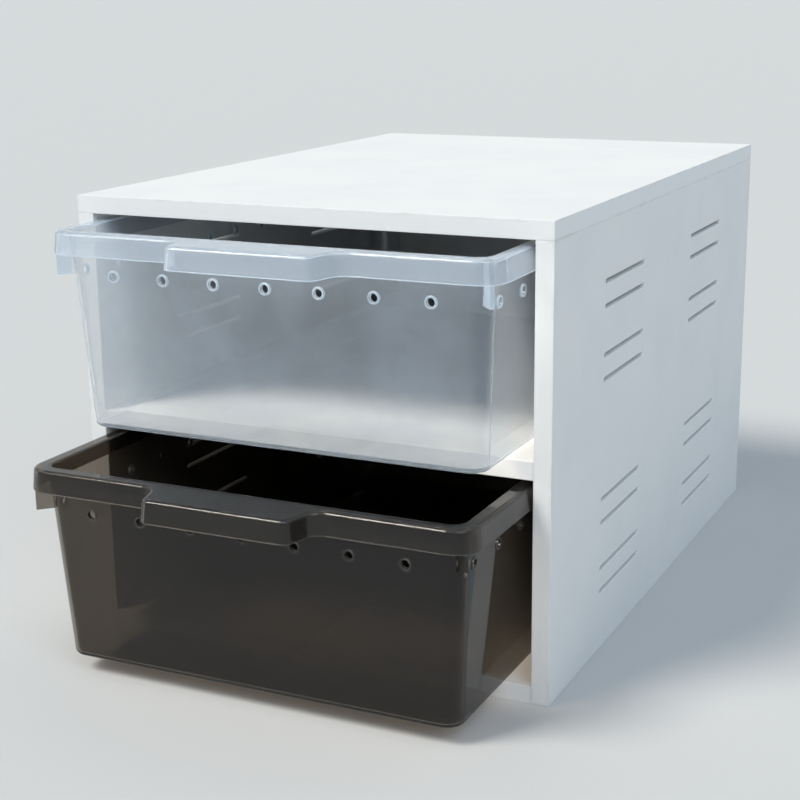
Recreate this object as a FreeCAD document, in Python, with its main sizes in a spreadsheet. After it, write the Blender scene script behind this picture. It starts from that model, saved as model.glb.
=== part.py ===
import FreeCAD, Part
import os

import Sketcher

# Reptile breeding box: a white foam-board cabinet with two bays, one above the other, and a moulded
# tub with a pull lip in each bay.
# Millimetres. X runs to the right, Y to the back and Z up. The origin is on the floor, under the
# middle of the cabinet. Both tubs are drawn part-way out, and each slides straight along Y.

DRIVING_SIZES = (
    ("cabinet_width", 340, "cabinet outside, side to side"),
    ("cabinet_depth", 485, "cabinet outside, front to back"),
    ("board", 12, "thickness of every board"),
    ("board_edge_radius", 0.4, "rounding of every board's edges"),
    ("slot_length", 86, "air slot, end to end"),
    ("slot_height", 3, "air slot, and the width of its round ends"),
    ("slot_pitch", 16.5, "between the two slots of a pair"),
    ("slot_pair_pitch", 49, "between the two pairs of a bay"),
    ("slot_column_pitch", 203.7, "between the front and rear columns"),
    ("slot_first_height", 30, "lowest slot above the floor of its bay"),
    ("slot_edge_radius", 0.9, "rounding of a slot's edges"),
    ("dowel_diameter", 6, "concealed dowels that join the boards"),
    ("dowel_glue_gap", 0.1, "dowel hole over dowel, on the diameter"),
    ("dowel_end_gap", 0.5, "air at each end of a dowel"),
    ("dowel_chamfer", 0.8, "bevel on the ends of a dowel"),
    ("dowel_skin", 4, "board left behind a blind hole in its face"),
    ("dowel_edge_depth", 20, "hole in the edge of a board"),
    ("dowel_end_margin", 40, "first and last dowel from the ends of a joint"),
    ("depth_dowels", 4, "dowels in each joint that runs front to back"),
    ("back_dowels", 3, "dowels in each upright joint of the back panel"),
    ("tub_height", 131.7, "tub, underside to rim"),
    ("tub_side_gap", 1, "rim to each side panel"),
    ("tub_back_gap", 3, "rim to the back panel with the tub home"),
    ("tub_head_gap", 4, "rim to the board above"),
    ("tub_floor_gap", 0.3, "running gap over the board below"),
    ("upper_pull_out", 56, "upper rim in front of the cabinet"),
    ("lower_pull_out", 94, "lower rim in front of the cabinet"),
    ("tub_wall", 2, "thickness of the moulding"),
    ("tub_taper", 7, "lean of each wall from mouth to floor"),
    ("tub_corner_radius", 12, "upright corners of the tub, outside"),
    ("tub_floor_radius", 3, "edge of the tub's underside"),
    ("tub_floor_inner_radius", 1.5, "edge of the tub's floor, inside"),
    ("mouth_edge_radius", 0.9, "rounding of the tub's edge at the mouth"),
    ("rim_overhang", 8.8, "foot of the rim's skirt past the wall at the mouth"),
    ("rim_skirt", 15, "height of the turned-down rim"),
    ("rim_flare", 1.4, "foot of the skirt past the rim's top"),
    ("rim_corner_radius", 17, "corners of the rim, outside"),
    ("rim_shoulder_radius", 2.8, "rounding of the rim's outer top edge"),
    ("skirt_foot", 1.2, "upright band at the foot of the skirt"),
    ("skirt_foot_radius", 0.8, "rounding of the skirt's lower edges"),
    ("lip_reach", 24, "pull lip in front of the rim"),
    ("lip_root_width", 114, "pull lip where it leaves the rim"),
    ("lip_front_width", 102, "pull lip at its front"),
    ("lip_corner_radius", 7, "front corners of the pull lip"),
    ("lip_root_radius", 10, "hollow corners where the lip leaves the rim"),
    ("rib_thickness", 2.4, "corner rib under the rim"),
    ("rib_drop", 13.5, "corner rib below the skirt"),
    ("rib_setback", 1, "end of the corner rib inside the skirt's face"),
    ("vent_hole", 5.4, "round vent in the tub's wall"),
    ("vent_collar_diameter", 8, "raised collar round a vent"),
    ("vent_collar_height", 0.8, "collar proud of the wall"),
    ("vent_collar_round", 0.5, "rounding of a collar's nose"),
    ("vent_drop", 28.3, "vent centres below the rim"),
    ("front_vent_pitch", 37, "between vents in the front wall"),
    ("side_vent_pitch", 37.6, "between vents in a side wall"),
)

WORKED_SIZES = (
    ("bay_height", "=sizes.tub_floor_gap + sizes.tub_height + sizes.tub_head_gap", "clear height of a bay"),
    ("bay_pitch", "=bay_height + sizes.board", "from the floor of one bay to the next"),
    ("cabinet_height", "=2 * bay_pitch + sizes.board", "cabinet outside"),
    ("inner_width", "=sizes.cabinet_width - 2 * sizes.board", "between the side panels"),
    ("shelf_depth", "=sizes.cabinet_depth - sizes.board", "boards in front of the back panel"),
    ("side_height", "=cabinet_height - sizes.board", "side and back panels, under the top panel"),
    ("slot_row_offset", "=sizes.board + sizes.slot_first_height", "lowest slot above the floor"),
    ("dowel_hole", "=sizes.dowel_diameter + sizes.dowel_glue_gap", "diameter of a dowel hole"),
    ("dowel_face_depth", "=sizes.board - sizes.dowel_skin", "hole in the face of a board"),
    ("dowel_length", "=dowel_face_depth + sizes.dowel_edge_depth - 2 * sizes.dowel_end_gap", "one dowel"),
    ("top_row", "=sizes.cabinet_depth - 2 * sizes.dowel_end_margin", "dowels under the top panel"),
    ("shelf_row", "=shelf_depth - 2 * sizes.dowel_end_margin", "dowels at a shelf's end"),
    ("back_row", "=side_height - 2 * sizes.dowel_end_margin", "dowels up the back panel's edge"),
    ("front_row_start", "=sizes.dowel_end_margin - sizes.cabinet_depth / 2", "first dowel from the front"),
    ("side_centre", "=(sizes.cabinet_width - sizes.board) / 2", "middle of a side panel's thickness"),
    ("back_centre", "=(sizes.cabinet_depth - sizes.board) / 2", "middle of the back panel's thickness"),
    ("shelf_centre", "=bay_pitch + sizes.board / 2", "middle of the shelf's thickness"),
    ("rim_width", "=inner_width - 2 * sizes.tub_side_gap", "rim, side to side"),
    ("rim_depth", "=shelf_depth - sizes.tub_back_gap", "rim, front to back, without the lip"),
    ("rim_base", "=sizes.tub_height - sizes.rim_skirt", "lower edge of the rim's skirt"),
    ("mouth_width", "=rim_width - 2 * sizes.rim_overhang", "outside of the walls at the mouth"),
    ("mouth_depth", "=rim_depth - 2 * sizes.rim_overhang", "outside of the walls at the mouth"),
    ("floor_width", "=mouth_width - 2 * sizes.tub_taper", "outside of the walls at the underside"),
    ("floor_depth", "=mouth_depth - 2 * sizes.tub_taper", "outside of the walls at the underside"),
    ("inner_corner_radius", "=sizes.tub_corner_radius - sizes.tub_wall", "upright corners, inside"),
    ("rib_start_x", "=mouth_width / 2 - sizes.tub_corner_radius", "centre of the mouth's corner"),
    ("rib_start_y", "=mouth_depth / 2 - sizes.tub_corner_radius", "centre of the mouth's corner"),
    ("corner_step", "=sizes.rim_overhang - sizes.rim_corner_radius + sizes.tub_corner_radius",
     "from the mouth's corner centre to the rim's, along X or Y"),
    ("rib_length", "=sqrt(2) * corner_step + sizes.rim_corner_radius - sizes.rib_setback",
     "end of a rib from the mouth's corner centre, along the diagonal"),
    ("rib_high_end", "=rib_length - sizes.rim_flare", "end of a rib at its top, inside the leaning skirt"),
    ("rib_base", "=rim_base - sizes.rib_drop", "lower edge of a rib"),
    ("rib_top", "=sizes.tub_height - sizes.tub_wall / 2", "upper edge of a rib, inside the rim"),
    ("rib_lean", "=sqrt(2) * sizes.tub_taper / sizes.tub_height", "lean of a corner, along the diagonal"),
    ("rib_high_start", "=sizes.tub_corner_radius - sizes.tub_wall / 2 - rib_lean * sizes.tub_wall / 2",
     "middle of the wall's corner at the top of a rib"),
    ("rib_low_start", "=rib_high_start - rib_lean * (rib_top - rib_base)",
     "middle of the wall's corner at the foot of a rib"),
    ("vent_height", "=sizes.tub_height - sizes.vent_drop", "vent centres above the underside"),
    ("vent_lean", "=sizes.tub_taper * sizes.vent_drop / sizes.tub_height", "wall's lean at the vents"),
    ("vent_front_wall", "=mouth_depth / 2 - vent_lean", "face of the front wall at the vents"),
    ("vent_side_wall", "=mouth_width / 2 - vent_lean", "face of a side wall at the vents"),
    ("vent_end_room", "=sizes.tub_corner_radius + sizes.vent_hole",
     "least distance of a vent from the end of its wall"),
    ("front_vents", "=floor(2 * (vent_side_wall - vent_end_room) / sizes.front_vent_pitch) + 1",
     "vents in the front wall, clear of its round corners"),
    ("side_vents", "=floor(2 * (vent_front_wall - vent_end_room) / sizes.side_vent_pitch) + 1",
     "vents in a side wall, clear of its round corners"),
    ("front_vent_row", "=(front_vents - 1) * sizes.front_vent_pitch", "first front vent to last"),
    ("side_vent_row", "=(side_vents - 1) * sizes.side_vent_pitch", "first side vent to last"),
)

TOUCH = 1e-4
LEFT, RIGHT = -1, 1
ALONG_X = FreeCAD.Vector(1, 0, 0)
ALONG_Y = FreeCAD.Vector(0, 1, 0)
ALONG_Z = FreeCAD.Vector(0, 0, 1)

doc = FreeCAD.newDocument("ReptileBreedingBox")


def fill_sheet(name, rows):
    sheet = doc.addObject("Spreadsheet::Sheet", name)
    for row, (alias, content, note) in enumerate(rows, start=1):
        sheet.set(f"A{row}", note)
        sheet.set(f"B{row}", str(content))
        sheet.setAlias(f"B{row}", alias)
    doc.recompute()
    return sheet


sizes = fill_sheet("sizes", DRIVING_SIZES)
worked = fill_sheet("worked", WORKED_SIZES)


def value(expression):
    return float(worked.evalExpression(expression))


def bind(thing, bindings):
    for name, expression in bindings.items():
        thing.setExpression(name, expression)


def put(thing, place):
    bind(thing, {"Placement.Base." + letter: expression for letter, expression in zip("xyz", place)})


def origin_feature(body, role):
    return next(feature for feature in body.Origin.OriginFeatures if feature.Role == role)


def new_body(label, place):
    body = doc.addObject("PartDesign::Body", label)
    body.Label = label
    put(body, place)
    return body


def primitive(body, kind, name, place, turn, **bindings):
    """A box, wedge or cylinder of a body, turned and put in its place."""
    feature = body.newObject("PartDesign::" + kind, f"{body.Name}_{name}")
    feature.Placement = FreeCAD.Placement(FreeCAD.Vector(), turn)
    bind(feature, bindings)
    put(feature, place)
    return feature


def facing(direction):
    return FreeCAD.Rotation(ALONG_Z, direction)


def repeat(body, name, originals, steps):
    """Repeat features in rows along an axis (axis, length, count) or across a plane (plane,)."""
    multi = body.newObject("PartDesign::MultiTransform", f"{body.Name}_{name}")
    multi.Originals = originals
    transformations = []
    for number, (role, *row) in enumerate(steps):
        kind = "LinearPattern" if row else "Mirrored"
        step = body.newObject("PartDesign::" + kind, f"{multi.Name}_{number}")
        if row:
            step.Direction = (origin_feature(body, role), [""])
            bind(step, {"Length": row[0], "Occurrences": row[1]})
        else:
            step.MirrorPlane = (origin_feature(body, role), [""])
        transformations.append(step)
    multi.Transformations = transformations
    body.Tip = multi
    doc.recompute()
    return multi


def sketch_on(body, name, role, offset):
    sketch = body.newObject("Sketcher::SketchObject", f"{body.Name}_{name}")
    sketch.AttachmentSupport = [(origin_feature(body, role), "")]
    sketch.MapMode = "FlatFace"
    sketch.setExpression("AttachmentOffset.Base.z", offset)
    return sketch


def constrain(sketch, *constraint):
    return sketch.addConstraint(Sketcher.Constraint(*constraint))


def dimension(sketch, name, expression, *constraint):
    """A named dimension of a sketch, bound to the sheets."""
    number = constrain(sketch, *constraint, value(expression))
    sketch.renameConstraint(number, name)
    sketch.setExpression("Constraints." + name, expression)


def add_extrusion(body, kind, name, profile, length, sides="One side", backwards=False):
    """A pad or pocket of a sketch, to one side of it or evenly to both."""
    feature = body.newObject("PartDesign::" + kind, f"{body.Name}_{name}")
    feature.Profile = profile
    feature.SideType = sides
    feature.Reversed = backwards
    feature.setExpression("Length", length)
    doc.recompute()
    return feature


def edge_names(feature, wanted):
    return [f"Edge{number}" for number, edge in enumerate(feature.Shape.Edges, start=1) if wanted(edge)]


def level_edges(feature, height):
    """Names of the edges that lie wholly at one height above a body's own base."""
    return edge_names(feature, lambda edge: max(abs(edge.BoundBox.ZMin - height),
                                                abs(edge.BoundBox.ZMax - height)) < TOUCH)


def upright_edges(feature, wanted):
    """Names of the straight upright edges whose middle passes a test."""
    return edge_names(feature, lambda edge: edge.Curve.TypeId == "Part::GeomLine"
                      and abs(edge.Curve.Direction.z) > 1 - TOUCH and wanted(edge.CenterOfMass))


def face_names(feature, wanted):
    return [f"Face{number}" for number, face in enumerate(feature.Shape.Faces, start=1) if wanted(face)]


def dress(body, kind, name, base, spots, **bindings):
    """A fillet, chamfer or shell on named edges or faces of the last feature."""
    feature = body.newObject("PartDesign::" + kind, f"{body.Name}_{name}")
    feature.Base = (base, spots)
    bind(feature, bindings)
    doc.recompute()
    return feature


# Boards


def new_board(label, width, depth, height, place):
    """A board with eased edges, centred in X and Y on its own underside."""
    body = new_body(label, place)
    corner = (f"-({width}) / 2", f"-({depth}) / 2", "0")
    sheet = primitive(body, "AdditiveBox", "sheet", corner, FreeCAD.Rotation(),
                      Length=width, Width=depth, Height=height)
    doc.recompute()
    dress(body, "Fillet", "edges", sheet, edge_names(sheet, lambda edge: True),
          Radius="sizes.board_edge_radius")
    return body


def dowel_holes(body, name, mouth, direction, depth, steps):
    """Blind dowel holes that run from the mouth of the first one into the board."""
    hole = primitive(body, "SubtractiveCylinder", name, mouth, facing(direction),
                     Radius="worked.dowel_hole / 2", Height=depth)
    repeat(body, name + "_row", [hole], steps)


TOP_STEP = ("Y_Axis", "worked.top_row", "sizes.depth_dowels")
SHELF_STEP = ("Y_Axis", "worked.shelf_row", "sizes.depth_dowels")
BACK_STEP = ("Z_Axis", "worked.back_row", "sizes.back_dowels")
BOTH_SIDES = ("YZ_Plane",)


def make_top_panel():
    body = new_board("top_panel", "sizes.cabinet_width", "sizes.cabinet_depth", "sizes.board",
                     ("0", "0", "worked.side_height"))
    mouth = ("worked.side_centre", "worked.front_row_start", "0")
    dowel_holes(body, "face_holes", mouth, ALONG_Z, "worked.dowel_face_depth", [TOP_STEP, BOTH_SIDES])
    return body


def make_shelf(label, height):
    """A board between the side panels, from the front to the back panel."""
    body = new_board(label, "worked.inner_width", "worked.shelf_depth", "sizes.board",
                     ("0", "-sizes.board / 2", height))
    mouth = ("worked.inner_width / 2", "-worked.shelf_row / 2", "sizes.board / 2")
    dowel_holes(body, "end_holes", mouth, -ALONG_X, "sizes.dowel_edge_depth", [SHELF_STEP, BOTH_SIDES])
    return body


def make_back_panel():
    body = new_board("back_panel", "worked.inner_width", "sizes.board", "worked.side_height",
                     ("0", "worked.back_centre", "0"))
    mouth = ("worked.inner_width / 2", "0", "sizes.dowel_end_margin")
    dowel_holes(body, "end_holes", mouth, -ALONG_X, "sizes.dowel_edge_depth", [BACK_STEP, BOTH_SIDES])
    return body


def slot_outline(sketch):
    """One level slot with round ends. The sketch's X is the cabinet's Y, and its Y is up."""
    half_run = value("(sizes.slot_length - sizes.slot_height) / 2")
    bend = value("sizes.slot_height / 2")
    middle_x, middle_y = -value("sizes.slot_column_pitch / 2"), value("worked.slot_row_offset")
    left, right = middle_x - half_run, middle_x + half_run
    half_turn = FreeCAD.Units.Quantity("180 deg").getValueAs("rad").Value
    low, high = middle_y - bend, middle_y + bend
    sketch.addGeometry(Part.LineSegment(FreeCAD.Vector(left, low), FreeCAD.Vector(right, low)), False)
    sketch.addGeometry(Part.LineSegment(FreeCAD.Vector(right, high), FreeCAD.Vector(left, high)), False)
    for centre, start in ((right, -half_turn / 2), (left, half_turn / 2)):
        circle = Part.Circle(FreeCAD.Vector(centre, middle_y), ALONG_Z, bend)
        sketch.addGeometry(Part.ArcOfCircle(circle, start, start + half_turn), False)
    for line, arc in ((0, 2), (1, 3)):
        constrain(sketch, "Tangent", line, 2, arc, 1)
        constrain(sketch, "Tangent", arc, 2, 1 - line, 1)
    constrain(sketch, "Horizontal", 0)
    constrain(sketch, "Equal", 2, 3)
    dimension(sketch, "bend", "sizes.slot_height / 2", "Radius", 2)
    dimension(sketch, "run", "sizes.slot_length - sizes.slot_height", "DistanceX", 3, 3, 2, 3)
    dimension(sketch, "front_end", "(sizes.slot_column_pitch - sizes.slot_length + sizes.slot_height) / 2",
              "DistanceX", 2, 3, -1, 1)
    dimension(sketch, "lift", "worked.slot_row_offset", "DistanceY", -1, 1, 2, 3)


def make_side_panel(label, side):
    body = new_board(label, "sizes.board", "sizes.cabinet_depth", "worked.side_height",
                     (f"{side} * worked.side_centre", "0", "0"))
    dowel_holes(body, "top_holes", ("0", "worked.front_row_start", "worked.side_height"), -ALONG_Z,
                "sizes.dowel_edge_depth", [TOP_STEP])
    inner_face = f"{-side} * sizes.board / 2"
    outward = ALONG_X * side
    dowel_holes(body, "shelf_holes", (inner_face, "worked.front_row_start", "sizes.board / 2"), outward,
                "worked.dowel_face_depth", [SHELF_STEP, ("Z_Axis", "worked.bay_pitch", "2")])
    dowel_holes(body, "back_holes", (inner_face, "worked.back_centre", "sizes.dowel_end_margin"), outward,
                "worked.dowel_face_depth", [BACK_STEP])
    outline = sketch_on(body, "slot_outline", "YZ_Plane", "0")
    slot_outline(outline)
    slot = add_extrusion(body, "Pocket", "slot", outline, "2 * sizes.board", "Symmetric")
    slot_steps = [("Z_Axis", "sizes.slot_pitch", "2"), ("Z_Axis", "sizes.slot_pair_pitch", "2"),
                  ("Z_Axis", "worked.bay_pitch", "2"), ("Y_Axis", "sizes.slot_column_pitch", "2")]
    slots = repeat(body, "slots", [slot], slot_steps)
    half_board, longest = value("sizes.board / 2"), value("sizes.slot_length")

    def on_slot(edge):
        on_face = edge.BoundBox.XLength < TOUCH and abs(abs(edge.CenterOfMass.x) - half_board) < TOUCH
        return on_face and not edge.isClosed() and edge.Length < longest

    dress(body, "Fillet", "slot_edges", slots, edge_names(slots, on_slot), Radius="sizes.slot_edge_radius")
    return body


# Dowels


def make_dowel_row(label, start, direction, step):
    """A row of separate dowels in one joint, from the inner end of the first one."""
    body = new_body(label, ("0", "0", "0"))
    body.AllowCompound = True
    dowel = primitive(body, "AdditiveCylinder", "dowel", start, facing(direction),
                      Radius="sizes.dowel_diameter / 2", Height="worked.dowel_length")
    doc.recompute()
    ends = edge_names(dowel, lambda edge: edge.Curve.TypeId == "Part::GeomCircle")
    dress(body, "Chamfer", "ends", dowel, ends, Size="sizes.dowel_chamfer")
    axis, length, count = step
    row = body.newObject("PartDesign::LinearPattern", f"{label}_row")
    row.TransformMode = "Whole shape"
    row.Direction = (origin_feature(body, axis), [""])
    bind(row, {"Length": length, "Occurrences": count})
    body.Tip = row
    doc.recompute()
    return body


def make_all_dowels():
    rows = []
    for name, side in (("left", LEFT), ("right", RIGHT)):
        outward = ALONG_X * side
        top_start = (f"{side} * worked.side_centre", "worked.front_row_start",
                     "worked.side_height - sizes.dowel_edge_depth + sizes.dowel_end_gap")
        rows.append(make_dowel_row(f"top_{name}_dowels", top_start, ALONG_Z, TOP_STEP))
        inner_end = f"{side} * (worked.inner_width / 2 - sizes.dowel_edge_depth + sizes.dowel_end_gap)"
        for joint, height in (("shelf", "worked.shelf_centre"), ("bottom", "sizes.board / 2")):
            start = (inner_end, "worked.front_row_start", height)
            rows.append(make_dowel_row(f"{joint}_{name}_dowels", start, outward, SHELF_STEP))
        back_start = (inner_end, "worked.back_centre", "sizes.dowel_end_margin")
        rows.append(make_dowel_row(f"back_{name}_dowels", back_start, outward, BACK_STEP))
    return rows


# Tubs


def lip_outline(sketch):
    """Plan of the pull lip: wider at its root, on the rim's front, than at its front edge."""
    root_y, front_y = -value("worked.rim_depth / 2"), -value("worked.rim_depth / 2 + sizes.lip_reach")
    half_root, half_front = value("sizes.lip_root_width / 2"), value("sizes.lip_front_width / 2")
    corners = [FreeCAD.Vector(-half_root, root_y), FreeCAD.Vector(-half_front, front_y),
               FreeCAD.Vector(half_front, front_y), FreeCAD.Vector(half_root, root_y)]
    for number, corner in enumerate(corners):
        sketch.addGeometry(Part.LineSegment(corner, corners[(number + 1) % 4]), False)
    for line in range(4):
        constrain(sketch, "Coincident", line, 2, (line + 1) % 4, 1)
    constrain(sketch, "Symmetric", 1, 1, 1, 2, -2)
    constrain(sketch, "Symmetric", 3, 1, 3, 2, -2)
    dimension(sketch, "front_width", "sizes.lip_front_width", "DistanceX", 1, 1, 1, 2)
    dimension(sketch, "root_width", "sizes.lip_root_width", "DistanceX", 3, 2, 3, 1)
    dimension(sketch, "reach", "sizes.lip_reach", "DistanceY", 1, 1, 3, 2)
    dimension(sketch, "root", "worked.rim_depth / 2", "DistanceY", 3, 2, -1, 1)


def flare_skirt(body, rim):
    """Leans the skirt all round: one long bevel from the rim's top edge down to the foot's band."""
    height, back = value("sizes.tub_height"), value("worked.rim_depth / 2")
    back_edge = edge_names(rim, lambda edge: abs(edge.CenterOfMass.z - height) < TOUCH
                           and abs(edge.CenterOfMass.y - back) < TOUCH)
    flare = dress(body, "Chamfer", "flare", rim, back_edge, Size="sizes.rim_flare")
    flare.ChamferType = "Two distances"
    bind(flare, {"Size2": "sizes.rim_skirt - sizes.skirt_foot"})
    doc.recompute()
    return flare


def add_rim(body):
    """The rim and its pull lip, turned down all round into a leaning skirt and open below."""
    half_width, half_depth = "worked.rim_width / 2", "worked.rim_depth / 2"
    block = primitive(body, "AdditiveBox", "rim", ("-" + half_width, "-" + half_depth, "worked.rim_base"),
                      FreeCAD.Rotation(), Length="worked.rim_width", Width="worked.rim_depth",
                      Height="sizes.rim_skirt")
    doc.recompute()
    dress(body, "Fillet", "rim_corners", block, upright_edges(block, lambda middle: True),
          Radius="sizes.rim_corner_radius")
    outline = sketch_on(body, "lip_outline", "XY_Plane", "worked.rim_base")
    lip_outline(outline)
    lip = add_extrusion(body, "Pad", "lip", outline, "sizes.rim_skirt")
    front = -value(half_depth)
    root_half = value("sizes.lip_root_width / 2")
    outer_edges = upright_edges(lip, lambda middle: middle.y < front - TOUCH)
    lip_corners = dress(body, "Fillet", "lip_corners", lip, outer_edges, Radius="sizes.lip_corner_radius")
    root_edges = upright_edges(lip_corners, lambda middle: abs(middle.y - front) < TOUCH
                               and abs(abs(middle.x) - root_half) < TOUCH)
    lip_roots = dress(body, "Fillet", "lip_roots", lip_corners, root_edges, Radius="sizes.lip_root_radius")
    flare = flare_skirt(body, lip_roots)
    shoulder = dress(body, "Fillet", "shoulder", flare, level_edges(flare, value("sizes.tub_height")),
                     Radius="sizes.rim_shoulder_radius")
    base = value("worked.rim_base")
    underside = face_names(shoulder, lambda face: abs(face.BoundBox.ZMax - base) < TOUCH)
    shell = dress(body, "Thickness", "rim_shell", shoulder, underside, Value="sizes.tub_wall")
    dress(body, "Fillet", "skirt_foot", shell, level_edges(shell, base), Radius="sizes.skirt_foot_radius")


def add_frustum(body, kind, name, low, high):
    """A block with flat leaning sides between two level rectangles, each (height, width, depth)."""
    bounds = {}
    for axis, number in (("X", 1), ("Z", 2)):
        bounds[f"{axis}min"], bounds[f"{axis}max"] = f"-({low[number]}) / 2", f"({low[number]}) / 2"
        bounds[f"{axis}2min"], bounds[f"{axis}2max"] = f"-({high[number]}) / 2", f"({high[number]}) / 2"
    standing = FreeCAD.Rotation(ALONG_X, 90)
    block = primitive(body, kind, name, ("0", "0", "0"), standing, Ymin=low[0], Ymax=high[0], **bounds)
    doc.recompute()
    return block


def corner_edges(feature, low, high):
    """Names of the leaning edges at the four corners of such a block."""
    low, high = [value(size) for size in low], [value(size) for size in high]

    def at_corner(edge):
        middle = edge.CenterOfMass
        share = (middle.z - low[0]) / (high[0] - low[0])
        half_width, half_depth = ((low[size] + share * (high[size] - low[size])) / 2 for size in (1, 2))
        return max(abs(abs(middle.x) - half_width), abs(abs(middle.y) - half_depth)) < TOUCH

    return edge_names(feature, at_corner)


WALLS_LOW = ("0", "worked.floor_width", "worked.floor_depth")
WALLS_HIGH = ("sizes.tub_height", "worked.mouth_width", "worked.mouth_depth")
HOLLOW_LOW = ("sizes.tub_wall", "worked.floor_width - 2 * sizes.tub_wall",
              "worked.floor_depth - 2 * sizes.tub_wall")
HOLLOW_HIGH = ("sizes.tub_height", "worked.mouth_width - 2 * sizes.tub_wall",
               "worked.mouth_depth - 2 * sizes.tub_wall")


def add_hollow(body):
    """The inside of the tub, with the walls' corners and the edges of floor and mouth rounded."""
    hollow = add_frustum(body, "SubtractiveWedge", "hollow", HOLLOW_LOW, HOLLOW_HIGH)
    inner_edges = corner_edges(hollow, HOLLOW_LOW, HOLLOW_HIGH)
    inner = dress(body, "Fillet", "inner_corners", hollow, inner_edges, Radius="worked.inner_corner_radius")
    outer_edges = corner_edges(inner, WALLS_LOW, WALLS_HIGH)
    outer = dress(body, "Fillet", "outer_corners", inner, outer_edges, Radius="sizes.tub_corner_radius")
    lower_edges = level_edges(outer, 0)
    underside = dress(body, "Fillet", "underside", outer, lower_edges, Radius="sizes.tub_floor_radius")
    floor_edges = level_edges(underside, value("sizes.tub_wall"))
    floor = dress(body, "Fillet", "floor_edge", underside, floor_edges,
                  Radius="sizes.tub_floor_inner_radius")
    height = value("sizes.tub_height")
    half_width, half_depth = value("worked.mouth_width / 2"), value("worked.mouth_depth / 2")

    def at_mouth(edge):
        middle = edge.CenterOfMass
        inside = abs(middle.x) < half_width and abs(middle.y) < half_depth
        return inside and abs(middle.z - height) < TOUCH

    dress(body, "Fillet", "mouth_edge", floor, edge_names(floor, at_mouth), Radius="sizes.mouth_edge_radius")


def rib_outline(sketch):
    """Side of a corner rib: upright below the skirt, and inside its leaning wall above."""
    corners = [("worked.rib_low_start", "worked.rib_base"), ("worked.rib_length", "worked.rib_base"),
               ("worked.rib_length", "worked.rim_base"), ("worked.rib_high_end", "worked.rib_top"),
               ("worked.rib_high_start", "worked.rib_top")]
    points = [FreeCAD.Vector(value(across), value(up)) for across, up in corners]
    for number, point in enumerate(points):
        sketch.addGeometry(Part.LineSegment(point, points[(number + 1) % 5]), False)
    for line in range(5):
        constrain(sketch, "Coincident", line, 2, (line + 1) % 5, 1)
    for line, direction in ((0, "Horizontal"), (1, "Vertical"), (3, "Horizontal")):
        constrain(sketch, direction, line)
    for name, height, corner in (("base", "worked.rib_base", 0), ("turn", "worked.rim_base", 2),
                                 ("top", "worked.rib_top", 3)):
        dimension(sketch, name, height, "DistanceY", -1, 1, corner, 1)
    for name, reach, corner in (("low_start", "worked.rib_low_start", 0), ("end", "worked.rib_length", 1),
                                ("high_end", "worked.rib_high_end", 3),
                                ("high_start", "worked.rib_high_start", 4)):
        dimension(sketch, name, reach, "DistanceX", -1, 1, corner, 1)


def add_corner_ribs(body):
    """A diagonal rib from each corner of the walls to the rim, lower than the skirt."""
    outline = sketch_on(body, "rib_outline", "XZ_Plane", "worked.rib_start_y")
    outline.AttachmentOffset = FreeCAD.Placement(FreeCAD.Vector(), FreeCAD.Rotation(ALONG_Y, -45))
    outline.setExpression("AttachmentOffset.Base.x", "worked.rib_start_x")
    rib_outline(outline)
    rib = add_extrusion(body, "Pad", "rib", outline, "sizes.rib_thickness", "Symmetric")
    repeat(body, "ribs", [rib], [BOTH_SIDES, ("XZ_Plane",)])


def vent_circles(sketch, diameter, row, pitch, count):
    """A level row of equal circles, centred on the sketch's upright axis at the height of the vents."""
    first, height = -value(row) / 2, value("worked.vent_height")
    for number in range(count):
        centre = FreeCAD.Vector(first + number * value(pitch), height)
        sketch.addGeometry(Part.Circle(centre, ALONG_Z, value(diameter) / 2), False)
    for number in range(1, count):
        constrain(sketch, "Equal", 0, number)
        constrain(sketch, "Horizontal", 0, 3, number, 3)
        dimension(sketch, f"pitch_{number}", pitch, "DistanceX", number - 1, 3, number, 3)
    dimension(sketch, "diameter", diameter, "Diameter", 0)
    dimension(sketch, "height", "worked.vent_height", "DistanceY", -1, 1, 0, 3)
    dimension(sketch, "start", row + " / 2", "DistanceX", 0, 3, -1, 1)


VENT_ROWS = {
    "front": ("XZ_Plane", "worked.front_vent_row", "sizes.front_vent_pitch", "worked.front_vents"),
    "side": ("YZ_Plane", "worked.side_vent_row", "sizes.side_vent_pitch", "worked.side_vents"),
}


def vent_sketch(body, wall, name, diameter):
    plane, row, pitch, count = VENT_ROWS[wall]
    sketch = sketch_on(body, f"{wall}_{name}", plane, "0")
    vent_circles(sketch, diameter, row, pitch, round(value(count)))
    return sketch


FRONT_NOSE = "worked.vent_front_wall + sizes.vent_collar_height"
SIDE_NOSE = "worked.vent_side_wall + sizes.vent_collar_height"


def add_collars(body):
    """Solid collars, from the middle of the uncut block out to the front and to both sides."""
    front = vent_sketch(body, "front", "collar_circles", "sizes.vent_collar_diameter")
    add_extrusion(body, "Pad", "front_collars", front, FRONT_NOSE)
    side = vent_sketch(body, "side", "collar_circles", "sizes.vent_collar_diameter")
    add_extrusion(body, "Pad", "side_collars", side, f"2 * ({SIDE_NOSE})", "Symmetric")


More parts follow.
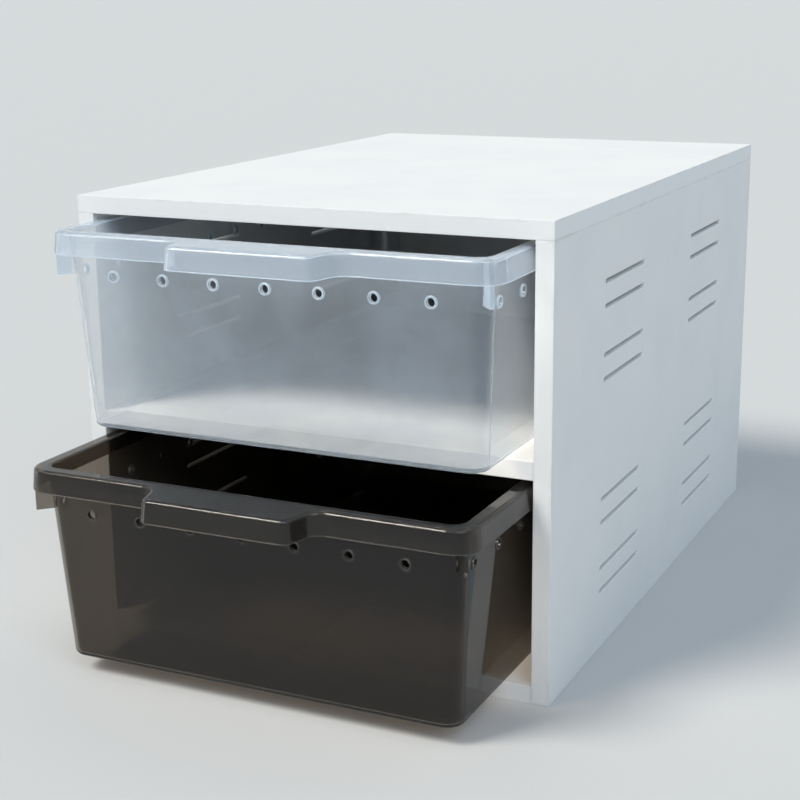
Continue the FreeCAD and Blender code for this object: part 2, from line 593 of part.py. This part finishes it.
def add_vents(body):
    """Round vents through the front wall and both side walls, with the collars' noses rounded."""
    front = vent_sketch(body, "front", "vent_circles", "sizes.vent_hole")
    add_extrusion(body, "Pocket", "front_vents", front, "worked.rim_depth / 2", backwards=True)
    side = vent_sketch(body, "side", "vent_circles", "sizes.vent_hole")
    last = add_extrusion(body, "Pocket", "side_vents", side, "worked.rim_width", "Symmetric")
    front_nose, side_nose = value(FRONT_NOSE), value(SIDE_NOSE)

    def on_nose(edge):
        box = edge.BoundBox
        in_front = box.YLength < TOUCH and abs(box.YMin + front_nose) < TOUCH
        beside = box.XLength < TOUCH and abs(abs(box.XMin) - side_nose) < TOUCH
        return in_front or beside

    dress(body, "Fillet", "collar_noses", last, edge_names(last, on_nose), Radius="sizes.vent_collar_round")


def make_tub(label, floor, pull_out):
    """A tub, drawn about the middle of its rim with its underside at zero height."""
    body = new_body(label, ("0", f"worked.rim_depth / 2 - sizes.cabinet_depth / 2 - {pull_out}",
                            f"{floor} + sizes.tub_floor_gap"))
    add_rim(body)
    add_frustum(body, "AdditiveWedge", "walls", WALLS_LOW, WALLS_HIGH)
    add_collars(body)
    add_hollow(body)
    add_corner_ribs(body)
    add_vents(body)
    return body


boards = [
    make_top_panel(),
    make_shelf("middle_shelf", "worked.bay_pitch"),
    make_shelf("bottom_panel", "0"),
    make_back_panel(),
    make_side_panel("left_side_panel", LEFT),
    make_side_panel("right_side_panel", RIGHT),
]
dowels = make_all_dowels()
tubs = [
    make_tub("upper_tub", "worked.bay_pitch + sizes.board", "sizes.upper_pull_out"),
    make_tub("lower_tub", "sizes.board", "sizes.lower_pull_out"),
]
doc.recompute()

for thing in doc.Objects:
    if "Invalid" in thing.State or "Error" in thing.State:
        raise RuntimeError(f"{thing.Name} did not build: {thing.State}")

nodes = boards + dowels + tubs
for node in nodes:
    if node.Shape.isNull() or not node.Shape.isValid():
        raise RuntimeError(f"{node.Label} has no valid shape")

os.makedirs("parts", exist_ok=True)
for node in nodes:
    node.Shape.exportStep(f"parts/{node.Label}.step")
    box = node.Shape.BoundBox
    corners = [f"{number:.1f}" for number in (*box.getPoint(0), *box.getPoint(6))]
    print(node.Label, len(node.Shape.Solids), "solids,", round(node.Shape.Volume), "mm3,", *corners)
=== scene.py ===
import math
from typing import NamedTuple

import bmesh
import bpy
from mathutils import Matrix, Vector


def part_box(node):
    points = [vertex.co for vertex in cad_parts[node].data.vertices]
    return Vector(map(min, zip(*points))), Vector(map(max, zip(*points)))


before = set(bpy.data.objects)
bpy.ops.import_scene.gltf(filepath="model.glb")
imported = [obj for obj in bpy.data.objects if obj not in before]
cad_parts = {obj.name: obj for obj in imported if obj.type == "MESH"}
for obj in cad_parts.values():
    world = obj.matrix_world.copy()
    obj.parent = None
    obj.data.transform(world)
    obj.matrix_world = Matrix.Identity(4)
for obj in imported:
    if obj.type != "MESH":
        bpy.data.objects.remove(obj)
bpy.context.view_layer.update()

# Looks of the reptile breeding box: white foam board, a clear tub and a smoke tub, on a pale floor.
# Metres, in the frame of the solids: X to the right, Y to the back, Z up.
# The solids keep their own shapes, and only get finishes here.

MM = 0.001

# Camera, fitted to the corners of the cabinet in the photograph.
CAMERA_PLACE = Vector((0.4816, -1.1036, 0.4402))
CAMERA_YAW = math.radians(25.62)
CAMERA_PITCH = math.radians(14.68)
CAMERA_ROLL = math.radians(0.66)
CAMERA_LENS = 70.85
CAMERA_SENSOR = 36.0

# Floor and light.
FLOOR_PALE = (0.60, 0.60, 0.60)
FLOOR_REACH = 400.0
FLOOR_GRAIN = 2 * MM
BACKDROP_PALE = (0.667, 0.70, 0.71)
SKY_COOL = (0.74, 0.875, 1.0)
SKY_STRENGTH = 0.42
KEY_WARM = (1.0, 0.95, 0.86)
KEY_STRENGTH = 2.55
KEY_SPREAD = math.radians(22)
KEY_FROM = Vector((-0.70, -0.80, 1.30))
FILL_STRENGTH = 0.9
FILL_SPREAD = math.radians(40)
FILL_FROM = Vector((0.66, -0.56, 0.78))

# The boards, each with the axis along which it is thin: 0 for X, 1 for Y and 2 for Z.
BOARDS = {
    "left_side_panel": 0,
    "right_side_panel": 0,
    "back_panel": 1,
    "top_panel": 2,
    "middle_shelf": 2,
    "bottom_panel": 2,
}

# White board: its colours, the sizes of its marks and how strongly they show.
BOARD_WHITE = (0.815, 0.815, 0.81)
BOARD_MOTTLE = (0.785, 0.79, 0.79)
BOARD_SAWN = (0.83, 0.835, 0.84)
BOARD_WORN = (0.66, 0.66, 0.65)
MOTTLE_SIZE = 70 * MM
SPECK_SIZE = 1.6 * MM
SPECK_STRENGTH = 0.35
SAWN_SPAN = (0.35 * MM, 0.7 * MM)
SAWN_STRENGTH = 0.8
WEAR_SIZE = 22 * MM
WEAR_SPAN = (0.2 * MM, 2.2 * MM)
WEAR_STRENGTH = 0.55
SKIN_SIZE = 1.1 * MM
SKIN_STRENGTH = 0.5
CELL_SIZE = 0.45 * MM
BOARD_RELIEF = 0.05 * MM
BOARD_ROUGHNESS = 0.64
BOARD_SHINE = 0.25

# Beech of the dowels.
DOWEL_PALE = (0.62, 0.43, 0.25)
DOWEL_DARK = (0.43, 0.27, 0.14)
DOWEL_GRAIN = 4 * MM
DOWEL_GRAIN_DRAW = (1.0, 6.0, 6.0)
DOWEL_RELIEF = 0.08 * MM

# Marks of the moulded plastic.
CLOUD_SIZE = 45 * MM
RUB_SIZE = 18 * MM
FLOW_SIZE = 26 * MM
FLOW_DRAW = (1.0, 1.0, 0.25)
FLOW_RELIEF = 0.25 * MM
BLOOM_GRAIN = 0.8 * MM
BLOOM_RELIEF = 0.05 * MM
# Share of the milky bloom's light that comes through it from behind.
THROUGH_SHARE = 0.35
# Share of the lamps' light that a plastic face lets straight through. The rest comes by refraction.
SHADOW_SHARE = 0.88

# The tubs' rims and vents, as on the solids.
RIM_SKIRT = 15 * MM
RIM_OVERHANG = 8.8 * MM
RIM_CORNER = 17 * MM
MOUTH_CORNER = 10 * MM
TUB_WALL = 2 * MM
LIP_REACH = 24 * MM
VENT_DROP = 28.3 * MM
VENT_COLLAR_RADIUS = 4.0 * MM
VENT_HOLE_RADIUS = 2.7 * MM
FRONT_VENT_PITCH = 37 * MM
SIDE_VENT_PITCH = 37.6 * MM
FRONT_VENT_REACH = 125 * MM

# Where the bloom on a tub begins and is full, measured outwards from the mouth, the rim or a hole,
# or upwards from the top of the rim, and how far it fades. Along the skirt's foot and the mouth's
# edge the bloom is partly a painted highlight.
RIM_SPAN = (2.6 * MM, 4.0 * MM)
RIB_SPAN = (1.6 * MM, 2.2 * MM)
SKIRT_SPAN = (-4.5 * MM, -3.5 * MM)
MOUTH_SPAN = (-1.6 * MM, -1.0 * MM)
HOLE_SPAN = (0.05 * MM, 0.25 * MM)
RIB_FADE = 0.6 * MM
FOOT_FADE = 1.1 * MM
MOUTH_FADE = 1.2 * MM
COLLAR_FADE = 0.4 * MM
WALL_FADE = 2 * MM


class Plastic(NamedTuple):
    """A tub's plastic: its colours, its bend of light, and how milky it is at each place; the milk
    on its edges is partly a painted highlight.
    """

    tint: tuple
    cloud: tuple
    milk: tuple
    bend: float
    haze: float
    rim: float
    ribs: float
    collars: float
    # edges: strength of the milk along the skirt's foot and the mouth's edge, partly frosting and
    # partly a painted highlight
    edges: float


CLEAR = Plastic(
    tint=(0.972, 0.957, 0.937),
    cloud=(0.95, 0.94, 0.925),
    milk=(0.69, 0.80, 0.93),
    bend=1.46,
    haze=0.165,
    rim=0.23,
    ribs=0.44,
    collars=0.60,
    edges=0.55,
)
SMOKE = Plastic(
    tint=(0.26, 0.225, 0.19),
    cloud=(0.225, 0.195, 0.165),
    milk=(0.22, 0.225, 0.225),
    bend=1.40,
    haze=0.02,
    rim=0.03,
    ribs=0.06,
    collars=0.28,
    edges=0.33,
)


class Wire:
    """A shader socket. Arithmetic on it adds Math nodes."""

    def __init__(self, finish, socket):
        self.finish = finish
        self.socket = socket

    def maths(self, operation, *values):
        return self.finish.node("ShaderNodeMath", {"operation": operation}, dict(enumerate(values)))

    def __add__(self, other):
        return self.maths("ADD", self, other)

    def __radd__(self, other):
        return self.maths("ADD", other, self)

    def __sub__(self, other):
        return self.maths("SUBTRACT", self, other)

    def __rsub__(self, other):
        return self.maths("SUBTRACT", other, self)

    def __mul__(self, other):
        return self.maths("MULTIPLY", self, other)

    def __rmul__(self, other):
        return self.maths("MULTIPLY", other, self)

    def __truediv__(self, other):
        return self.maths("DIVIDE", self, other)

    def __rtruediv__(self, other):
        return self.maths("DIVIDE", other, self)

    def __pow__(self, other):
        return self.maths("POWER", self, other)

    def __rpow__(self, other):
        return self.maths("POWER", other, self)

    def __abs__(self):
        return self.maths("ABSOLUTE", self)

    def least(self, other):
        return self.maths("MINIMUM", self, other)

    def most(self, other):
        return self.maths("MAXIMUM", self, other)

    def fraction(self):
        return self.maths("FRACT", self)


class Finish:
    """The nodes of one material or of the world."""

    def __init__(self, owner):
        self.owner = owner
        owner.use_nodes = True
        self.tree = owner.node_tree
        self.tree.nodes.clear()

    def node(self, kind, settings=None, sockets=None, out=0):
        """Adds a node: its settings first, then the values or links of its sockets."""
        node = self.tree.nodes.new(kind)
        for key, setting in (settings or {}).items():
            setattr(node, key, setting)
        for key, given in (sockets or {}).items():
            socket = node.inputs[key]
            if isinstance(given, Wire):
                self.tree.links.new(given.socket, socket)
            elif isinstance(given, tuple) and socket.type == "RGBA":
                socket.default_value = (*given, 1.0)
            else:
                socket.default_value = given
        return Wire(self, node.outputs[out]) if node.outputs else None

    def place(self):
        return self.node("ShaderNodeTexCoord", out="Object")

    def shift(self, vector, operation, *others):
        given = dict(enumerate((vector, *others)))
        return self.node("ShaderNodeVectorMath", {"operation": operation}, given)

    def split(self, vector):
        parts = self.node("ShaderNodeSeparateXYZ", sockets={0: vector}).socket.node.outputs
        return tuple(Wire(self, part) for part in parts)

    def noise(self, vector, size, detail=2.0, roughness=0.5):
        """Noise from 0 to 1 whose lumps are about the given size in metres."""
        values = {"Vector": vector, "Scale": 1.0 / size, "Detail": detail, "Roughness": roughness}
        return self.node("ShaderNodeTexNoise", sockets=values)

    def step(self, value, start, end, low, high):
        values = {"Value": value, "From Min": start, "From Max": end, "To Min": low, "To Max": high}
        return self.node("ShaderNodeMapRange", {"interpolation_type": "SMOOTHSTEP"}, values)

    def rise(self, value, start, end):
        """A smooth step up, from 0 at the start to 1 at the end."""
        return self.step(value, start, end, 0.0, 1.0)

    def fall(self, value, start, end):
        """A smooth step down, from 1 at the start to 0 at the end."""
        return self.step(value, start, end, 1.0, 0.0)

    def blend(self, factor, first, second):
        """A colour between two. A Mix node's colours are its inputs 6 and 7 and its output 2."""
        values = {0: factor, 6: first, 7: second}
        return self.node("ShaderNodeMix", {"data_type": "RGBA"}, values, out=2)

    def bump(self, height, depth, strength):
        values = {"Height": height, "Distance": depth, "Strength": strength}
        return self.node("ShaderNodeBump", sockets=values)

    def principled(self, **values):
        sockets = {name.replace("_", " "): given for name, given in values.items()}
        return self.node("ShaderNodeBsdfPrincipled", sockets=sockets)

    def mix(self, factor, first, second):
        """A surface between two surfaces."""
        return self.node("ShaderNodeMixShader", sockets={0: factor, 1: first, 2: second})

    def show(self, shader, kind="ShaderNodeOutputMaterial"):
        self.node(kind, sockets={"Surface": shader})
        return self.owner


def new_finish(name):
    return Finish(bpy.data.materials.new(name))


def middle_of(a, b, c):
    """The middle one of three values."""
    return a.least(b).most(a.most(b).least(c))


def board_finish(node, thin_axis):
    """White foam board: a faint mottle, a fine skin, matt sawn edges and slight wear along them."""
    finish = new_finish(f"white_board_{node}")
    low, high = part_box(node)
    centre = (low + high) / 2
    half = (high - low) / 2
    place = finish.place()
    apart = finish.shift(finish.shift(place, "SUBTRACT", tuple(centre)), "ABSOLUTE")
    room = finish.split(finish.shift(tuple(half), "SUBTRACT", apart))
    sawn = finish.rise(room[thin_axis], *SAWN_SPAN)
    near_edge = finish.fall(middle_of(*room), *WEAR_SPAN)
    patches = finish.noise(place, WEAR_SIZE, detail=4.0, roughness=0.62)
    worn = near_edge * finish.rise(patches, 0.46, 0.68) * WEAR_STRENGTH
    drifts = finish.noise(place, MOTTLE_SIZE, detail=5.0, roughness=0.55)
    mottle = finish.rise(drifts, 0.35, 0.7)
    specks = finish.rise(finish.noise(place, SPECK_SIZE, detail=1.0), 0.68, 0.76)
    colour = finish.blend(mottle, BOARD_WHITE, BOARD_MOTTLE)
    colour = finish.blend(specks * SPECK_STRENGTH, colour, BOARD_MOTTLE)
    colour = finish.blend(sawn * SAWN_STRENGTH, colour, BOARD_SAWN)
    colour = finish.blend(worn, colour, BOARD_WORN)
    skin = finish.noise(place, SKIN_SIZE)
    cells = finish.noise(place, CELL_SIZE, detail=3.0, roughness=0.7)
    height = skin * (1 - sawn) * SKIN_STRENGTH + cells * sawn
    return finish.show(finish.principled(
        Base_Color=colour,
        Roughness=BOARD_ROUGHNESS + 0.10 * mottle + 0.10 * sawn + 0.08 * worn,
        Normal=finish.bump(height, BOARD_RELIEF, strength=0.55),
        Specular_IOR_Level=BOARD_SHINE,
    ))


def dowel_finish():
    """Pale beech, grained along X, as most of the dowels lie."""
    finish = new_finish("dowel_wood_beech")
    drawn = finish.shift(finish.place(), "MULTIPLY", DOWEL_GRAIN_DRAW)
    grain = finish.noise(drawn, DOWEL_GRAIN, detail=4.0, roughness=0.6)
    return finish.show(finish.principled(
        Base_Color=finish.blend(finish.rise(grain, 0.35, 0.7), DOWEL_PALE, DOWEL_DARK),
        Roughness=0.5 + 0.15 * grain,
        Normal=finish.bump(grain, DOWEL_RELIEF, strength=0.5),
    ))


def nearest_step(along, pitch):
    """Distance along a row to the nearest whole pitch."""
    return ((along / pitch + 0.5).fraction() - 0.5) * pitch


def outline_distance(finish, flat, half, corner):
    """Distance of a place outside an upright box with round corners: below 0 inside it."""
    core = finish.shift(flat, "SUBTRACT", (half[0] - corner, half[1] - corner, 0.0))
    beyond = finish.shift(core, "MAXIMUM", (0.0, 0.0, 0.0))
    far = finish.node("ShaderNodeVectorMath", {"operation": "LENGTH"}, {0: beyond}, out="Value")
    x, y = finish.split(core)[:2]
    return far + x.most(y).least(0.0) - corner


class Rim:
    """Where a place lies on a tub: along its rim, its mouth and its rows of vents."""

    def __init__(self, finish, place, tub):
        low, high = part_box(tub)
        front = low.y + LIP_REACH
        half = ((high.x - low.x) / 2, (high.y - front) / 2)
        self.finish = finish
        self.middle = (front + high.y) / 2
        self.x, self.y, z = finish.split(place)
        self.above = z - high.z
        flat = finish.shift(place, "SUBTRACT", (0.0, self.middle, 0.0))
        flat = finish.shift(finish.shift(flat, "ABSOLUTE"), "MULTIPLY", (1.0, 1.0, 0.0))
        self.past_rim = outline_distance(finish, flat, half, RIM_CORNER)
        mouth = tuple(side - RIM_OVERHANG - TUB_WALL for side in half)
        self.past_mouth = outline_distance(finish, flat, mouth, MOUTH_CORNER)

    def near(self, value, reach):
        """1 where a value is about nothing, fading to 0 at the reach."""
        return self.finish.fall(abs(value), 0.4 * reach, reach)

    def band(self):
        """1 on the rim, its skirt and the lip, which stand out from the walls."""
        return self.finish.rise(self.past_mouth, *RIM_SPAN)

    def ribs(self):
        """1 on the corner ribs, below the skirt's foot."""
        below = self.finish.fall(self.above, -RIM_SKIRT - RIB_FADE, -RIM_SKIRT)
        return below * self.finish.rise(self.past_mouth, *RIB_SPAN)

    def collars(self):
        """1 on the raised collars round the vents, in the front wall and in the side walls."""
        drop = self.above + VENT_DROP
        back = self.y - self.middle
        along_front = nearest_step(self.x, FRONT_VENT_PITCH)
        along_side = nearest_step(back + SIDE_VENT_PITCH / 2, SIDE_VENT_PITCH)
        beside = self.finish.rise(abs(self.x), FRONT_VENT_REACH, FRONT_VENT_REACH + WALL_FADE)
        in_front = self.finish.fall(back, -WALL_FADE, 0.0) * (1 - beside)
        front = self.ring((along_front ** 2 + drop ** 2) ** 0.5)
        side = self.ring((along_side ** 2 + drop ** 2) ** 0.5)
        return front * in_front + side * beside

    def ring(self, reach):
        """1 from the side of a vent's hole to its collar's foot."""
        start, full = (VENT_HOLE_RADIUS + past for past in HOLE_SPAN)
        foot = self.finish.fall(reach, VENT_COLLAR_RADIUS, VENT_COLLAR_RADIUS + COLLAR_FADE)
        return self.finish.rise(reach, start, full) * foot

    def edges(self):
        """1 along the skirt's foot and the edge of the mouth: milk that is partly frosted moulding
        and partly a painted highlight of light caught in the plastic's edges.
        """
        outside = self.finish.rise(self.past_rim, *SKIRT_SPAN)
        foot = self.near(self.above + RIM_SKIRT, FOOT_FADE) * outside
        high = self.finish.rise(self.above, *MOUTH_SPAN)
        mouth = self.near(self.past_mouth, MOUTH_FADE) * high
        return foot.most(mouth)


def tub_finish(name, tub, plastic):
    """Moulded see-through plastic, under a milky bloom that is thicker on rim, ribs and edges; on
    the skirt's foot and the mouth's edge that milk is partly a painted highlight.
    """
    finish = new_finish(name)
    place = finish.place()
    rim = Rim(finish, place, tub)
    band = rim.band()
    drifts = finish.noise(place, CLOUD_SIZE, detail=4.0, roughness=0.6)
    clouds = finish.rise(drifts, 0.35, 0.72)
    patches = finish.noise(place, RUB_SIZE, detail=5.0, roughness=0.65)
    rubbed = finish.rise(patches, 0.5, 0.75)
    flow = finish.noise(finish.shift(place, "MULTIPLY", FLOW_DRAW), FLOW_SIZE)
    clear = finish.principled(
        Base_Color=finish.blend(clouds, plastic.tint, plastic.cloud),
        Roughness=0.03 + 0.04 * rubbed + 0.09 * band,
        Normal=finish.bump(flow, FLOW_RELIEF, strength=0.22),
        IOR=plastic.bend,
        Transmission_Weight=1.0,
    )
    grain = finish.noise(place, BLOOM_GRAIN)
    milky = finish.principled(
        Base_Color=plastic.milk,
        Roughness=0.28 + 0.1 * grain,
        Normal=finish.bump(grain, BLOOM_RELIEF, strength=0.4),
        IOR=plastic.bend,
    )
    lit_through = finish.node("ShaderNodeBsdfTranslucent", sockets={"Color": plastic.milk})
    milk_and_edge_highlight = plastic.haze * (0.8 + 0.4 * clouds)
    milk_and_edge_highlight = milk_and_edge_highlight.most(band * plastic.rim).most(rim.ribs() * plastic.ribs)
    # The edges' share is partly frosting and partly a painted highlight of light caught in the
    # plastic's edges.
    milk_and_edge_highlight = milk_and_edge_highlight.most(rim.collars() * plastic.collars).most(rim.edges() * plastic.edges)
    seen = finish.mix(milk_and_edge_highlight, clear, finish.mix(THROUGH_SHARE, milky, lit_through))
    dimmed = tuple(SHADOW_SHARE * part ** 0.5 for part in plastic.tint)
    shadow = finish.node("ShaderNodeBsdfTransparent", sockets={"Color": dimmed})
    from_lamp = finish.node("ShaderNodeLightPath", out="Is Shadow Ray")
    return finish.show(finish.mix(from_lamp, seen, shadow))


def give(node, material):
    """Puts a material on a solid carried over from the frame."""
    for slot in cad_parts[node].material_slots:
        slot.material = material


def dress_cabinet():
    for board, thin_axis in BOARDS.items():
        give(board, board_finish(board, thin_axis))
    beech = dowel_finish()
    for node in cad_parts:
        if node.endswith("_dowels"):
            give(node, beech)


def dress_tubs():
    give("upper_tub", tub_finish("clear_plastic_moulded", "upper_tub", CLEAR))
    give("lower_tub", tub_finish("smoke_plastic_moulded", "lower_tub", SMOKE))


def lay_floor():
    """A plain pale floor that takes the object's shadow."""
    mesh = bpy.data.meshes.new("floor")
    grid = bmesh.new()
    bmesh.ops.create_grid(grid, x_segments=1, y_segments=1, size=FLOOR_REACH)
    grid.to_mesh(mesh)
    grid.free()
    floor = bpy.data.objects.new("floor", mesh)
    bpy.context.scene.collection.objects.link(floor)
    finish = new_finish("floor_pale")
    paper = finish.noise(finish.place(), FLOOR_GRAIN)
    mesh.materials.append(finish.show(finish.principled(
        Base_Color=FLOOR_PALE,
        Roughness=0.85 + 0.1 * paper,
    )))


def light_sky():
    """Soft light from all round. Past the floor, eye, gloss and glass meet the floor's pale tone."""
    world = bpy.data.worlds.new("studio")
    bpy.context.scene.world = world
    sky = Finish(world)
    soft = sky.node("ShaderNodeBackground", sockets={"Color": SKY_COOL, "Strength": SKY_STRENGTH})
    pale = sky.node("ShaderNodeBackground", sockets={"Color": BACKDROP_PALE, "Strength": 1.0})
    eye = sky.node("ShaderNodeLightPath", out="Is Camera Ray")
    gloss = sky.node("ShaderNodeLightPath", out="Is Glossy Ray")
    glass = sky.node("ShaderNodeLightPath", out="Is Transmission Ray")
    sky.show(sky.mix(eye.most(gloss).most(glass), soft, pale), "ShaderNodeOutputWorld")


def light_lamp(name, strength, spread, colour, direction):
    """A broad far lamp that shines from the given direction."""
    lamp = bpy.data.lights.new(name, "SUN")
    lamp.energy = strength
    lamp.angle = spread
    lamp.color = colour
    holder = bpy.data.objects.new(name, lamp)
    holder.rotation_mode = "QUATERNION"
    holder.rotation_quaternion = direction.to_track_quat("Z", "Y")
    bpy.context.scene.collection.objects.link(holder)


def set_camera():
    ahead = Vector((
        -math.sin(CAMERA_YAW) * math.cos(CAMERA_PITCH),
        math.cos(CAMERA_YAW) * math.cos(CAMERA_PITCH),
        -math.sin(CAMERA_PITCH),
    ))
    right = Vector((math.cos(CAMERA_YAW), math.sin(CAMERA_YAW), 0.0))
    down = ahead.cross(right)
    across = math.cos(CAMERA_ROLL) * right + math.sin(CAMERA_ROLL) * down
    lens = bpy.data.cameras.new("camera")
    lens.lens = CAMERA_LENS
    lens.sensor_width = CAMERA_SENSOR
    camera = bpy.data.objects.new("camera", lens)
    turn = Matrix((across, across.cross(ahead), -ahead)).transposed()
    camera.matrix_world = Matrix.Translation(CAMERA_PLACE) @ turn.to_4x4()
    bpy.context.scene.collection.objects.link(camera)
    bpy.context.scene.camera = camera


dress_cabinet()
dress_tubs()
lay_floor()
light_sky()
light_lamp("key", KEY_STRENGTH, KEY_SPREAD, KEY_WARM, KEY_FROM)
light_lamp("fill", FILL_STRENGTH, FILL_SPREAD, SKY_COOL, FILL_FROM)
set_camera()
bpy.context.scene.view_settings.view_transform = "Standard"
